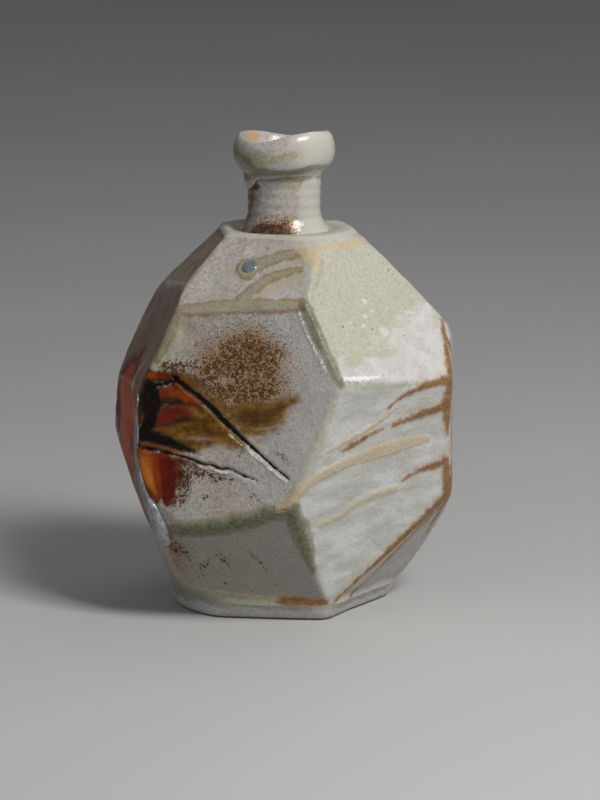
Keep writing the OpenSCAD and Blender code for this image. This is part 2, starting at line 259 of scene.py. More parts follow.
# Painted layers, as strokes of (azimuth, height, half width)
STROKES = {
    # Olive ash glass that ran from the neck across the shoulder and along its lower edge
    "olive": [
        [(14, 112.6, 1.2), (2, 111.7, 2), (-9, 110.3, 2.2), (-17, 108.8, 2.4), (-22.6, 107.6, 4)],
        [(9, 108, 1.0), (2.5, 107.3, 1.6), (-9.5, 105.3, 1.8), (-15, 102.6, 1.8), (-20.5, 99.6, 2)],
        [(-47, 95.2, 1.8), (-34.6, 96.6, 2.3), (-20.7, 97.6, 2.4), (-6, 98.2, 2.3), (7, 98.8, 2)],
        [(-47, 95, 1.6), (-47.5, 89.6, 2), (-49, 85, 1.6), (-50.6, 80.5, 0.8)],
    ],
    # Dark green glass in the hollows along the edges
    "green": [
        [(8.4, 99.2, 1.4), (12, 92.4, 1.7), (16, 84.7, 1.4), (19.3, 76.4, 0.6)],
        [(-41, 29.6, 2), (-28.7, 31.2, 2.8), (-17.9, 33.2, 2.9), (-7.7, 36.2, 2.8), (2.7, 39, 2.6)],
        [(2.7, 39.3, 2.6), (6.7, 30, 3), (10.6, 22, 1.6), (13, 17, 0.3)],
    ],
    # Thin olive wash between the runs on the shoulder
    "wash": [
        [(13, 112, 2), (4, 109.5, 3.2), (6, 105, 3.2)],
        [(2, 105, 2), (-8, 103, 3), (-13, 100.5, 2.4)],
        [(-44, 92, 1.2), (-47, 84, 1.6), (-50, 77, 1.2)],
    ],
    # Thin pale green glass
    "sage": [
        [(-50, 7.4, 1.5), (-25, 5.9, 1.5), (0, 5.6, 1.5), (14, 5.4, 1.0)],
        # Along the valley between two facets: pale green glass with painted shade
        [(22, 110, 1), (14, 104.6, 1.3), (8.4, 99.2, 1.4)],
        [(19.3, 76.4, 0.8), (15.7, 67, 1.1), (11, 56.7, 1.5), (6.4, 47.8, 1.6), (2.7, 39.3, 2)],
        [(19.3, 75.8, 0.7), (32.5, 74.6, 0.9), (52.3, 72.8, 0.8), (70.2, 71, 0.5)],
        [(-62.5, 80, 1), (-66.5, 74.5, 1.8), (-69.5, 70.5, 1.9)],
        [(-45, 88, 1), (-47, 80, 0.8)],
    ],
    # Cream glaze that pooled on the shoulder's rim and ran over the right-hand facets
    "cream": [
        [(24, 113.2, 0.9), (44, 113.8, 1.5), (74, 114, 1.1)],
        [(8, 113.6, 0.9), (13, 113, 2.4), (19, 112.2, 2.3)],
        [(13.5, 111.6, 1.8), (17, 109.6, 2.1), (18.5, 107.8, 1.2)],
        [(66, 53.8, 1), (52.7, 53.5, 2.2), (38.1, 52, 2), (24.3, 50.7, 1.6), (13.9, 48.5, 1.6),
         (5, 45, 1.4)],
        [(5, 45, 1.2), (2, 41, 1.5), (-2, 39, 1.0)],
        [(54.1, 39.6, 1.2), (40.3, 38.2, 1), (30.4, 36.4, 1), (25.9, 33.7, 0.6), (15.3, 32.4, 0.8)],
        [(48.2, 66, 0.5), (35.6, 60.5, 0.8), (24, 58, 0.7), (16, 55.5, 0.4)],
        [(-52, 12.6, 0.4), (-46.7, 9, 0.6), (-27.8, 8.2, 0.5), (-7.6, 7.1, 0.6), (20.9, 5, 0.5)],
    ],
    # Iron-brown runs down the right-hand side, along the foot, and last the drips round the edge
    "brown": [
        [(81.5, 88.5, 0.7), (76.7, 81.6, 1), (72, 74.2, 1.6), (70, 67.2, 2.6), (72, 60.7, 1.6),
         (74.1, 54, 0.5)],
        [(74.1, 47, 0.8), (76.6, 43.5, 1.6), (79.5, 35.7, 2.1)],
        [(70, 72, 1.2), (61.8, 71.7, 1.3), (55.3, 70.6, 0.9), (48.5, 68.8, 0.5), (44, 66.5, 0.4)],
        [(71, 64.5, 1.5), (66.5, 63, 1.4), (57.8, 61.8, 1.1), (48.2, 60.3, 0.6)],
        [(42, 59.6, 0.3), (35.6, 58.5, 0.8), (26, 55.8, 0.9), (22, 55, 0.3)],
        [(76, 45.5, 1.4), (67.7, 44.4, 0.9), (60, 42.8, 0.6), (57, 41.5, 0.3)],
        [(80.9, 34.8, 2), (71.7, 26.6, 1.5), (58.1, 19.2, 1.3), (41.3, 12, 0.6), (24.8, 5, 0.7)],
        [(81.3, 30.5, 0.5), (70.4, 21.6, 0.6), (55.8, 12.6, 0.6), (39.1, 5.2, 0.5)],
        [(-3, 6.2, 1), (5, 6, 2.2), (10.5, 5.7, 1.6), (19.6, 5, 2.2)],
        [(79, 86, 0.6), (78, 76, 1.6), (78, 66, 2.2), (80, 57, 1.4), (81, 49, 0.5)],
        [(79, 69, 1.4), (84, 61, 1.1), (86, 53, 0.9), (88, 44, 0.6), (89, 36, 0.2)],
        [(80, 45, 1.0), (81, 38, 2), (83, 30, 1.2), (84, 21, 0.5)],
    ],
    # Fine brown speckle thrown across the front facet, and last on the back
    "cloud": [
        [(-35, 77, 4.5), (-26, 81, 8.5), (-16, 83.5, 10.5), (-8.5, 82, 9)],
        [(-40, 76, 3), (-35, 73.5, 4.5), (-27, 71.5, 6), (-14.5, 73, 9), (-5.5, 74.5, 7)],
        [(-42, 24.5, 3.8), (-43.5, 20, 3.6), (-46.5, 16, 2)],
        [(-134, 66, 6), (-128, 60, 9), (-124, 52, 6)],
        [(160, 94, 5), (152, 87, 8), (147, 79, 5)],
    ],
    # Loose dark grains
    "soot": [
        [(-50, 79, 2.4), (-42, 78.5, 4.6), (-33, 76, 5.4), (-26, 72, 4.6)],
        [(-38, 50, 3.4), (-35.5, 45, 4.6), (-37.5, 39, 3.2)],
        [(-34, 48.5, 4.2), (-27, 47, 3.6), (-19, 46.5, 2)],
        [(-30, 41, 2), (-24, 42.5, 1.8)],
        [(-46, 25, 4.6), (-42, 22.5, 4.4), (-38, 20.5, 3)],
        [(-37, 14, 2.2), (-34, 18, 2.6), (-31, 21, 2.2)],
        [(-27, 23, 2.2), (-24, 18, 2.1)],
        [(-14, 24, 2.3), (-9, 17.5, 2.2)],
        [(-12, 44.5, 2), (-9.5, 41.5, 2.2)],
        [(-17, 54, 1.8), (-14, 51.5, 1.8)],
        [(-3, 56, 2.2), (1, 53, 2.4)],
    ],
    # Dark brown glass under the whole scar, and under the burnt patch below the second crack
    "scar": [
        [(-54.5, 73.5, 2.4), (-52, 67, 5), (-49, 61.5, 5.5), (-41, 62.5, 5.2), (-34, 63, 4.2),
         (-27, 60.8, 2.8), (-20, 58.8, 1.2)],
        [(-54.5, 75.5, 1.8), (-48, 76, 2.4), (-42, 74, 1.8), (-36, 71, 1.2)],
        [(-53.5, 50, 3.4), (-49.5, 45, 3.8), (-46, 40.5, 2.6)],
        [(-45, 50.5, 3.2), (-43, 45.5, 4), (-42, 40, 2.6)],
        [(-39.5, 49.5, 2.2), (-38.5, 45.5, 1.6)],
        [(-55, 56.5, 2.6), (-47, 56, 3), (-40, 55.4, 2.2), (-34, 55.5, 1.2)],
        [(-52, 70.5, 3), (-43, 69.6, 4), (-37, 67.6, 3.4), (-30, 64.5, 2.8), (-24, 61.8, 1.8)],
    ],
    # Molten glass of the scar on the left of the front facet
    "amber": [
        [(-21, 65.4, 2.4), (-14.5, 64.6, 4.2), (-8.5, 65.2, 4.4), (-2, 68, 3.2), (4.5, 71.8, 1.2)],
        [(-17, 61.6, 1.4), (-11, 61, 1.8), (-4, 62, 0.8)],
        [(-44, 56.2, 1.6), (-37, 56.4, 2.2), (-30, 57, 1.8), (-24, 58, 1)],
        [(-42, 59.5, 1.6), (-36.9, 60.8, 3), (-31.2, 60.8, 3.2), (-25.3, 59.6, 2.8), (-17, 57, 1.4)],
        [(-35, 66.5, 1.4), (-29.5, 64.2, 2.2), (-25, 61.5, 2)],
        [(-42, 76.2, 1), (-33, 71.8, 1.5), (-26, 67.4, 1.6), (-19, 62.4, 1.2)],
    ],
    "orange": [
        [(-53.6, 75.2, 0.9), (-49, 76.5, 1.6), (-43.5, 75, 1.3), (-39, 73.5, 0.6)],
        [(-50, 70.6, 1), (-42.5, 72, 2.3), (-37.4, 69.9, 2), (-33.5, 67.8, 0.9)],
        [(-55.5, 66, 0.8), (-55, 62.5, 0.9)],
    ],
    "red": [
        [(-48.3, 62.6, 1.4), (-45, 64.7, 2.1), (-41.1, 65.5, 1.5), (-37.5, 65.3, 0.7)],
        [(-55, 53.4, 1), (-47, 52.8, 1), (-38, 51.3, 0.9), (-33, 50.3, 0.5)],
        [(-44, 50.2, 3.4), (-42.8, 45.2, 3.6), (-41.6, 40.5, 2.2)],
    ],
    "gold": [
        [(-50.8, 50.4, 3.6), (-48.6, 45.2, 3.2), (-46, 41, 1.6)],
    ],
    "black": [
        [(-51.8, 72.2, 2.4), (-51.2, 68.4, 3.2), (-50.4, 65, 2.2), (-50.4, 61.4, 1.8), (-52, 58.8, 2.6)],
        [(-53, 73.5, 0.9), (-48.8, 73.1, 0.9), (-46.4, 74.1, 0.8), (-43.6, 75.5, 0.7)],
        [(-54.5, 58, 1.5), (-49.6, 57.7, 2), (-44.9, 56.8, 1.8), (-39.7, 55.2, 1.1), (-35, 54, 0.5)],
        [(-50.9, 67.1, 0.6), (-46.4, 67.5, 0.45), (-41.5, 68.5, 0.3)],
    ],
    # Red clay bared on the left
    "terracotta": [
        [(-80, 77, 3), (-82, 71, 8), (-82, 64, 14), (-78, 57, 14), (-72, 50, 8)],
        [(-98, 62, 4), (-106, 56, 5), (-111, 47, 2)],
        [(-68, 70, 5), (-64, 60, 7), (-62, 50, 6)],
        [(-66, 46, 4), (-59, 38, 2.4), (-55, 32, 1.2)],
    ],
    # Cracks that opened across the front facet as it cooled, and the raised lips along them, painted pale as
    # a highlight
    "crack": [
        [(-45.3, 75.9, 0.4), (-40.3, 72.9, 0.85), (-32.2, 68.7, 0.95), (-24.9, 63.9, 0.95),
         (-17.2, 59.2, 0.6), (-11, 55.5, 0.36), (-4.4, 51.3, 0.32), (1.5, 47.8, 0.3)],
        [(-55, 54.6, 0.5), (-47.6, 53.9, 0.4), (-39.4, 52.5, 0.35), (-34, 51.5, 0.4), (-31, 50.4, 0.35),
         (-28.3, 50.7, 0.4), (-24.5, 49.3, 0.4), (-21.3, 49.9, 0.3), (-16.5, 48.2, 0.3),
         (-10.3, 46.7, 0.15)],
    ],
    "lip": [
        [(-24, 61.1, 0), (-18.2, 57.8, 0.14), (-15, 56.3, 0.05), (-11.8, 54.1, 0.22), (-8, 52, 0.18),
         (-5, 50.1, 0.28), (0.8, 46.8, 0.2)],
        [(-33.5, 50.4, 0.0), (-30.5, 49.5, 0.12), (-28, 49.6, 0.14), (-24, 48.4, 0.18), (-20, 48.8, 0.05)],
    ],
    # Thick glaze standing proud along two edges, painted white as a glint of light
    "painted_glint_ridge": [
        [(6.2, 97, 0.15), (8.6, 91.5, 0.3), (12.3, 85, 0.2), (15.2, 79.5, 0.05)],
        [(20.5, 77.6, 0.5), (25, 76.9, 0.8), (31, 76.5, 0.7), (38, 76.3, 0.3)],
    ],
}
# Round spots of (azimuth, height, radius): pits burnt through the glaze, and pale craters
SPOTS = {
    "pits": [(26.7, 91.7, 0.34), (74, 34, 0.35), (44.5, 29, 0.2), (-28.6, 11.4, 0.35), (-6.5, 105, 0.15),
             (-38.4, 85.5, 0.25), (-33.9, 81.9, 0.3), (2.2, 91.6, 0.25), (28, 42, 0.2),
             (-14.2, 113.4, 0.22), (-30, 104.5, 0.2), (150, 70, 0.3), (-140, 45, 0.35), (118, 35, 0.25),
             (165, 90, 0.3)],
    "craters": [(44.8, 97.7, 1), (41.5, 93.5, 0.7), (38.5, 91, 0.8), (46.5, 94.5, 0.6), (49.5, 88.5, 1.6),
                (31, 92.5, 0.5)],
}
# Relief of the painted layers: (height of the glaze, width of its border), in millimetres
RELIEF = {
    "olive": (0.3, 1.2), "green": (0.3, 1.4), "sage": (0.15, 1.2), "cream": (0.28, 0.8), "brown": (0.22, 0.8),
    "painted_glint_ridge": (0.5, 0.6), "lip": (0.35, 0.45), "amber": (-0.2, 1.5), "orange": (0.3, 0.9), "red": (0.35, 0.9),
    "scar": (-0.3, 1.6), "black": (-0.5, 1.4), "crack": (-1.1, 0.7), "pits": (-0.35, 0.5),
    "craters": (-0.25, 0.6),
}
# Facets painted with light and shade by how they face the lamps, over their own ash tones, by the (azimuth,
# tilt) that each faces
FACETS = {
    "lit_facet": [(45, 28)], "cool": [(40.5, -11)], "shade": [(-80, 26), (-84, 45)], "under": [(-7, -29)],
    "left": [(-78, 3)],
}


# ---------------------------------------------------------------- meshes

def graded(stops):
    """Values from stop to stop: [(value, number of steps to the next), ..., (value, 0)]."""
    values = []
    for (start, steps), (end, _) in zip(stops[:-1], stops[1:]):
        values.extend(np.linspace(start, end, steps, endpoint=False))
    return np.array(values)


def ring_mesh(name, rings, replaces):
    """Closed surface from rings of points, joined round each ring and from the last ring to the first."""
    rows, columns = rings.shape[:2]
    index = np.arange(rows * columns).reshape(rows, columns)
    across = np.roll(index, -1, axis=1)
    quads = np.stack([index, across, np.roll(across, -1, axis=0), np.roll(index, -1, axis=0)], axis=-1)
    return piece_from(name, rings.reshape(-1, 3), quads.reshape(-1, 4).tolist(), replaces)


def tube_mesh(name, rings, replaces):
    """Closed surface from rings of points, with a point in the middle of each end."""
    rows, columns = rings.shape[:2]
    index = np.arange(rows * columns).reshape(rows, columns)
    across = np.roll(index, -1, axis=1)
    quads = np.stack([index[:-1], across[:-1], across[1:], index[1:]], axis=-1).reshape(-1, 4).tolist()
    first, last = rows * columns, rows * columns + 1
    caps = [(first, b, a) for a, b in zip(index[0], across[0])]
    caps += [(last, a, b) for a, b in zip(index[-1], across[-1])]
    points = np.concatenate([rings.reshape(-1, 3), rings[:1].mean(axis=1), rings[-1:].mean(axis=1)])
    return piece_from(name, points, quads + caps, replaces)


def piece_from(name, points, faces, replaces):
    mesh = bpy.data.meshes.new(name)
    mesh.from_pydata((points * MM).tolist(), [], faces)
    mesh.update()
    mesh.polygons.foreach_set("use_smooth", [True] * len(mesh.polygons))
    piece = bpy.data.objects.new(name, mesh)
    bpy.context.scene.collection.objects.link(piece)
    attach(piece, "root")
    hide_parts(replaces)
    return piece


def paint(piece, **layers):
    """Writes one value per point for each named layer."""
    for name, values in layers.items():
        layer = piece.data.attributes.new(name, "FLOAT", "POINT")
        layer.data.foreach_set("value", np.ascontiguousarray(values, np.float32))


def turned(profile, columns, wobble=None):
    """Rings of an outline of (radius, height) points turned about the bottle's axis."""
    azimuth = np.linspace(-180, 180, columns, endpoint=False)
    profile = np.array(profile, float)
    radius = np.repeat(profile[:, :1], columns, axis=1)
    height = np.repeat(profile[:, 1:], columns, axis=1)
    if wobble:
        radius, height = wobble(radius, height, azimuth)
    flat = heading(azimuth)[None] * radius[..., None]
    return np.concatenate([flat, height[..., None]], axis=-1)


def resampled(profile, spacing):
    """The outline with points added so that no gap is longer than the spacing."""
    out = []
    for start, end in zip(profile[:-1], profile[1:]):
        steps = max(1, math.ceil(math.dist(start, end) / spacing))
        out.extend(np.linspace(start, end, steps, endpoint=False))
    return [*out, profile[-1]]


def arc(centre, radius, start, end, steps):
    """Points of (radius, height) along an arc; angles in degrees from outwards, turning up."""
    turns = np.radians(np.linspace(start, end, steps))
    return [(centre[0] + radius * np.cos(turn), centre[1] + radius * np.sin(turn)) for turn in turns]


# ---------------------------------------------------------------- pieces

FOOT_FILLET = 3.4      # height over which the glaze flares out onto the foot slab
FOOT_WAIST = 0.12      # how far the top of the foot slab's edge draws in
HOLLOW = 0.55          # sag of each facet between its edges
PAINT_LIMIT = 20.0     # furthest distance that a painted layer keeps


def body_rings(azimuth):
    """Rings of the body wall, starting with its outer skin from the foot up."""
    top_z = shoulder_z - 0.7
    heights = graded([(foot_z, 1), (foot_z + 0.06, 24), (22, 22), (38, 84), (78, 32), (100, 26), (top_z, 0)])
    grid_azimuth, grid_z = np.meshgrid(azimuth, heights)
    radius = skin_radius(grid_azimuth, grid_z)
    flare = np.clip(1 - (grid_z - foot_z) / FOOT_FILLET, 0, 1) ** 2
    radius += flare * (foot_radius(grid_azimuth, foot_z) - FOOT_WAIST - radius)
    skin = np.concatenate([heading(grid_azimuth) * radius[..., None], grid_z[..., None]], axis=-1)
    rim_radius = skin_radius(azimuth, np.full_like(azimuth, top_z))

    def level(radius, z):
        radius = np.broadcast_to(radius, azimuth.shape)
        return np.concatenate([heading(azimuth) * radius[:, None], np.full((len(azimuth), 1), z)], axis=1)

    # The rim of the shoulder, the dish in it, and the hole for the neck
    dish_r = flare_r + 2
    inside = [
        level(rim_radius - 0.25, shoulder_z - 0.3), level(rim_radius - 0.65, shoulder_z - 0.08),
        level(rim_radius - 1.15, shoulder_z), level(dish_r + 0.35, shoulder_z - 0.05),
        level(dish_r - 0.1, shoulder_z - 0.35), level(flare_r + 0.9, seat_z + 0.45),
        level(flare_r + 0.1, seat_z + 0.05), level(neck_r, seat_z), level(neck_r, tenon_z + 2),
    ]
    # The cavity, down to the opening for the slab's spigot
    for share in np.linspace(0, 1, 16):
        z = tenon_z + (spigot_z - tenon_z) * share
        axis = vault_axis if z > cavity_mid_z else bowl_axis
        inside.append(level(ellipse_r(cavity_r, axis, z - cavity_mid_z), z))
    inside += [level(spigot_r, foot_z), level(0.5 * (spigot_r + foot_r) - 2, foot_z)]
    return skin, np.array(inside)


def make_body():
    azimuth = graded([(-180, 78), (-64, 196), (4, 116), (90, 66), (180, 0)])
    skin, inside = body_rings(azimuth)
    points = skin.reshape(-1, 3)
    away = np.cross(np.roll(skin, -1, axis=1) - np.roll(skin, 1, axis=1), np.gradient(skin, axis=0))
    away = (away / np.linalg.norm(away, axis=-1, keepdims=True)).reshape(-1, 3)

    depth = {name: stroke_depth(points, paths) for name, paths in STROKES.items()}
    for name, spots in SPOTS.items():
        depth[name] = stroke_depth(points, [[(a, z, r), (a + 0.3, z, r)] for a, z, r in spots])
    for name, facings in FACETS.items():
        depth[name] = np.maximum.reduce([facet_depth(points, *facing) for facing in facings])
    depth["edge"] = edge_distance(points)
    # White glaze with a painted sheen, below a line that rises to the right
    depth["white_glaze_and_sheen"] = 74 - points[:, 2] + 0.42 * points[:, 0]

    lift = -HOLLOW * (1 - np.exp(-np.clip(depth["edge"], 0, FAR) / 7))
    lift += 0.16 * ripple(points, 11, 3) + 0.06 * ripple(points, 3.5, 4)
    for name, (height, border) in RELIEF.items():
        lift += height * smoothstep(depth[name], -border * 0.6, border * 0.6)
    fade = smoothstep(points[:, 2], foot_z, foot_z + 2) * smoothstep(shoulder_z - points[:, 2], 0.6, 2)
    points = points + away * (lift * fade)[:, None]

    rings = np.concatenate([points.reshape(skin.shape), inside])
    piece = ring_mesh("body_wall_skin", rings, "body_wall")
    hidden = np.full(inside.shape[0] * inside.shape[1], -PAINT_LIMIT)
    for name, values in depth.items():
        paint(piece, **{name: np.concatenate([np.clip(values, -PAINT_LIMIT, PAINT_LIMIT), hidden])})
    return piece


def make_slab():
    round_r = 1.5      # rounding under the edge
    waist_r = foot_r - FOOT_WAIST
    # Underside, slightly hollow; then the rounded edge, the top under the wall, and the spigot
    profile = [(0.6, 0.5), (12, 0.5), (24, 0.4), (28.5, 0.25), (30, 0)]
    profile += arc((foot_r - round_r, round_r), round_r, -85, 15, 10)
    profile += [(foot_r, foot_z - 1.2), (waist_r, foot_z - 0.06), (waist_r, foot_z), (waist_r - 0.1, foot_z),
                (foot_r - 4, foot_z), (spigot_r, foot_z), (spigot_r, spigot_z), (12, spigot_z),
                (0.6, spigot_z)]

    def wobble(radius, height, azimuth):
        around = np.broadcast_to(azimuth, radius.shape)
        outer = smoothstep(radius, spigot_r + 1, 30)
        cut = foot_radius(around, np.clip(height, 0, foot_z)) - foot_r
        return radius + outer * cut, height

    rings = turned(resampled(profile, 1.3), 240, wobble)
    piece = tube_mesh("base_slab_foot", rings, "base_slab")
    points = np.array([list(vertex.co) for vertex in piece.data.vertices]) / MM
    around = azimuth_of(points)
    paint(piece,
          bare=smoothstep(points[:, 2], 0.9, 0.3) * 20 - 10,
          brown=stroke_depth(points, [[(6, 5.5, 0.3), (14, 5, 0.8), (22, 4.4, 0.8), (27, 3.8, 0.3)]]),
          green=points[:, 2] - foot_z + 1.4 + 0.4 * np.sin(np.radians(3 * around)))
    return piece


def flare_share(azimuth):
    """The neck's foot spreads less on the left than on the right."""
    return 0.66 + 0.24 * np.sin(np.radians(azimuth))


def make_neck():
    curve = 9.0        # radius of the hollow between the tube and its flared foot
    drop = math.sqrt(curve ** 2 - (neck_r + curve - flare_r) ** 2)
    top = seat_z + 0.8 + drop
    start = math.degrees(math.atan2(-drop, flare_r - neck_r - curve))
    flare = arc((neck_r + curve, top), curve, start % 360, 180, 16)
    profile = [(bore_r, tenon_z), (neck_r - 0.15, tenon_z), (neck_r - 0.15, seat_z), (flare_r - 0.5, seat_z),
               (flare_r - 0.1, seat_z + 0.3), *flare, (neck_r, neck_top_z - 0.3), (bore_r, neck_top_z - 0.3)]
    profile = resampled([*profile, profile[0]], 0.7)[:-1]

    def wobble(radius, height, azimuth):
        turn = np.radians(azimuth)[None]
        outer = smoothstep(radius, bore_r + 1, neck_r - 0.5)
        radius = np.where(radius > neck_r, neck_r + (radius - neck_r) * flare_share(azimuth), radius)
        swell = 0.14 * np.sin(turn + height / 5) + 0.1 * np.sin(2 * turn - height / 9)
        throwing = 0.1 * np.sin(height * 2 * math.pi / 3.1 + turn) * smoothstep(height, 118, 121)
        waist = -0.28 * smoothstep(height, 117, 121) * smoothstep(height, 134, 126)
        return radius + outer * (swell * smoothstep(height, seat_z + 1, 119) + throwing + waist), height

    rings = turned(profile, 180, wobble)
    piece = ring_mesh("neck_tube", rings, "neck")
    points = rings.reshape(-1, 3)
    outer = np.hypot(points[:, 0], points[:, 1]) > bore_r + 1.5

    def patch(place, z_mid, wide, tall):
        """Depth inside an oval patch on the outside of the neck."""
        along = np.radians(azimuth_of(points) - place) * neck_r
        gap = np.hypot(along / wide, (points[:, 2] - z_mid) / tall)
        return np.where(outer, (1 - gap) * min(wide, tall), -FAR)

    paint(piece,
          olive=np.maximum(patch(17, 120, 1.4, 8), patch(12, 131.5, 3, 2.4)),
          brown=np.maximum(patch(-20, 117.6, 6.4, 2.5), patch(2, 117.5, 3.4, 3.2)),
          rust=np.maximum(patch(-75, 129, 5, 9), patch(-80, 120, 2.6, 7)),
          soot=patch(-50, 130.3, 1.6, 2.2),
          # green: glaze at the neck's foot with painted shade round it, and a painted shade line just under
          # the rim
          green=np.maximum(patch(-66, 116, 4.5, 2.2), patch(-20, 132.8, 12, 1.2)))
    return piece


RIM_TALL = 13          # about the height of the rim, for the patches on it
# Height of the lip round the mouth: (azimuth, height); the lip dips on the left of the front
LIP_HEIGHTS = [(-180, 143.2), (-150, 144.6), (-118, 145.4), (-90, 145.4), (-60, 144), (-30, 143.6), (-8, 145),
               (12, 146.3), (40, 147), (90, 146.1), (130, 144.5), (165, 142.9)]
# Height of the rim's lower edge, which blends into the neck on the left
UNDER_HEIGHTS = [(-180, 133.6), (-135, 133.2), (-90, 133.6), (-44, 134.1), (0, 135), (40, 136.2), (90, 135.6),
                 (135, 134.6)]


def round_the_mouth(azimuth, table):
    """Smooth closed curve through a table of (azimuth, value)."""
    around = [(a + turn, v) for turn in (-360, 0, 360) for a, v in table]
    places, values = np.array(around, float).T
    fine = np.interp(np.arange(-540, 540, 4), places, values)
    blur = np.convolve(fine, np.hanning(9) / np.hanning(9).sum(), mode="same")
    return np.interp(azimuth, np.arange(-540, 540, 4), blur)


def make_collar():
    columns = 240
    azimuth = np.linspace(-180, 180, columns, endpoint=False)
    lip = round_the_mouth(azimuth, LIP_HEIGHTS)
    under = round_the_mouth(azimuth, UNDER_HEIGHTS)
    soft = smoothstep(np.cos(np.radians(azimuth + 100)), 0.45, 0.95)
    tuck = 1.3 + 3.4 * soft + 1.4 * smoothstep(np.cos(np.radians(azimuth - 90)), 0, 1)

    # Outline: radius, share of the way from the lower edge to the lip, millimetres up, share of the tuck
    outline = [
        (neck_r - 0.1, 0, -0.9, -1), (neck_r + 0.35, 0, -0.55, -0.75), (neck_r + 1.1, 0, -0.3, -0.45),
        (neck_r + 2.1, 0, -0.15, -0.15), (rim_r - 1.45, 0, 0.1, 0), (rim_r - 0.85, 0, 0.75, 0),
        (rim_r - 0.45, 0, 1.7, 0), (rim_r - 0.12, 0.22, 0.6, 0), (rim_r + 0.05, 0.4, 0, 0),
        (rim_r + 0.02, 0.55, 0, 0), (rim_r - 0.25, 0.7, 0, 0), (rim_r - 0.7, 0.84, 0, 0),
        (rim_r - 1.25, 0.94, -0.1, 0), (rim_r - 1.8, 1, -0.25, 0), (rim_r - 2.3, 1, 0, 0),
        (rim_r - 2.85, 1, -0.05, 0), (rim_r - 3.35, 1, -0.45, 0), (rim_r - 3.8, 0.92, -0.4, 0),
        (rim_r - 4.5, 0.75, 0, 0), (rim_r - 5.6, 0.56, 0, 0), (rim_r - 6.9, 0.4, 0, 0),
        (bore_r + 0.2, 0.3, 0, 0),
    ]
    rings = []
    for radius, share, up, dip in outline:
        z = under + share * (lip - under) + up + dip * tuck
        low = np.clip(1 - (z - under) / 6, 0, 1) * smoothstep(radius, neck_r, rim_r - 1)
        rings.append((radius - 1.9 * soft * low ** 1.5, z))
    for radius in (bore_r, neck_r + 0.1):
        rings.append((np.full(columns, radius), np.full(columns, neck_top_z)))

    # Finer rings along the outline, smoothed, then the unevenness of a thrown rim
    fine = np.linspace(0, len(rings) - 1, 4 * (len(rings) - 1) + 1)
    coarse = np.arange(len(rings))
    radius, height = (np.array([np.interp(fine, coarse, column) for column in np.array(values).T]).T
                      for values in zip(*rings))
    for values in (radius, height):
        for _ in range(3):
            values[1:-8] += 0.5 * (0.5 * (values[:-9] + values[2:-7]) - values[1:-8])
    turn = np.radians(azimuth)[None]
    outer = smoothstep(radius, neck_r + 0.6, rim_r - 1)
    radius += outer * (0.2 * np.sin(turn * 2 + 0.8) + 0.08 * np.sin(turn * 3 + height / 3) - 0.05)
    flat = heading(azimuth)[None] * radius[..., None]
    points = np.concatenate([flat, height[..., None]], axis=-1)
    piece = ring_mesh("lip_collar_rim", points, "lip_collar")

    around = azimuth_of(points.reshape(-1, 3))
    share = ((height - under) / (lip - under)).ravel()
    inner = (radius < rim_r - 3).ravel() & (share > 0.3)

    def patch(place, level, wide, tall, inside=False):
        """Depth inside an oval patch on the outside or the inside of the rim."""
        along = np.radians((around - place + 180) % 360 - 180) * rim_r
        gap = np.hypot(along / wide, (share - level) * RIM_TALL / tall)
        return np.where(inner == inside, (1 - gap) * min(wide, tall), -FAR)

    # The neck's glaze, which the rim shares, also reads the layers that are empty here
    paint(piece,
          olive=np.maximum.reduce([patch(-82, 0.4, 9, 6), patch(-42, 0.5, 9, 2.6), patch(-2, 0.45, 9, 1.8)]),
          # green: a painted shade line along the rim's lower edge, and green glaze on the left
          green=np.maximum.reduce([patch(-54, 0.02, 10, 2.4), patch(0, -0.02, 14, 1),
                                   patch(-72, 0.35, 9, 5)]),
          rust=np.maximum(patch(-92, 0, 9, 5), patch(-112, 0.5, 6, 6)),
          tan=patch(-128, 0.88, 2.8, 3.4, True),
          brown=np.full(len(around), -FAR),
          soot=np.full(len(around), -FAR))
    return piece


def glass_run(name, replaces, path, sink=0.7, turn_points=20):
    """Closed bead of glass lying along a path of (azimuth, height, half width, thickness)."""
    path = smoothed(path)
    middle = skin_point(path[:, 0], path[:, 1])
    up = skin_normal(path[:, 0], path[:, 1])
    for _ in range(2):
        up[1:-1] = (up[:-2] + up[1:-1] + up[2:]) / 3
    up /= np.linalg.norm(up, axis=1, keepdims=True)
    along = np.gradient(middle, axis=0)
    along /= np.linalg.norm(along, axis=1, keepdims=True)
    side = np.cross(along, up)
    turn = np.linspace(0, 2 * math.pi, turn_points, endpoint=False)
    width, thick = path[:, 2:3], path[:, 3:]
    spread = width * np.cos(turn)
    rise = np.where(np.sin(turn) > 0, thick, sink) * np.sin(turn)
    rings = middle[:, None] + spread[..., None] * side[:, None] + rise[..., None] * up[:, None]
    rings += 0.12 * ripple(rings, 3, 8)[..., None] * up[:, None]
    return tube_mesh(name, rings[::-1], replaces)


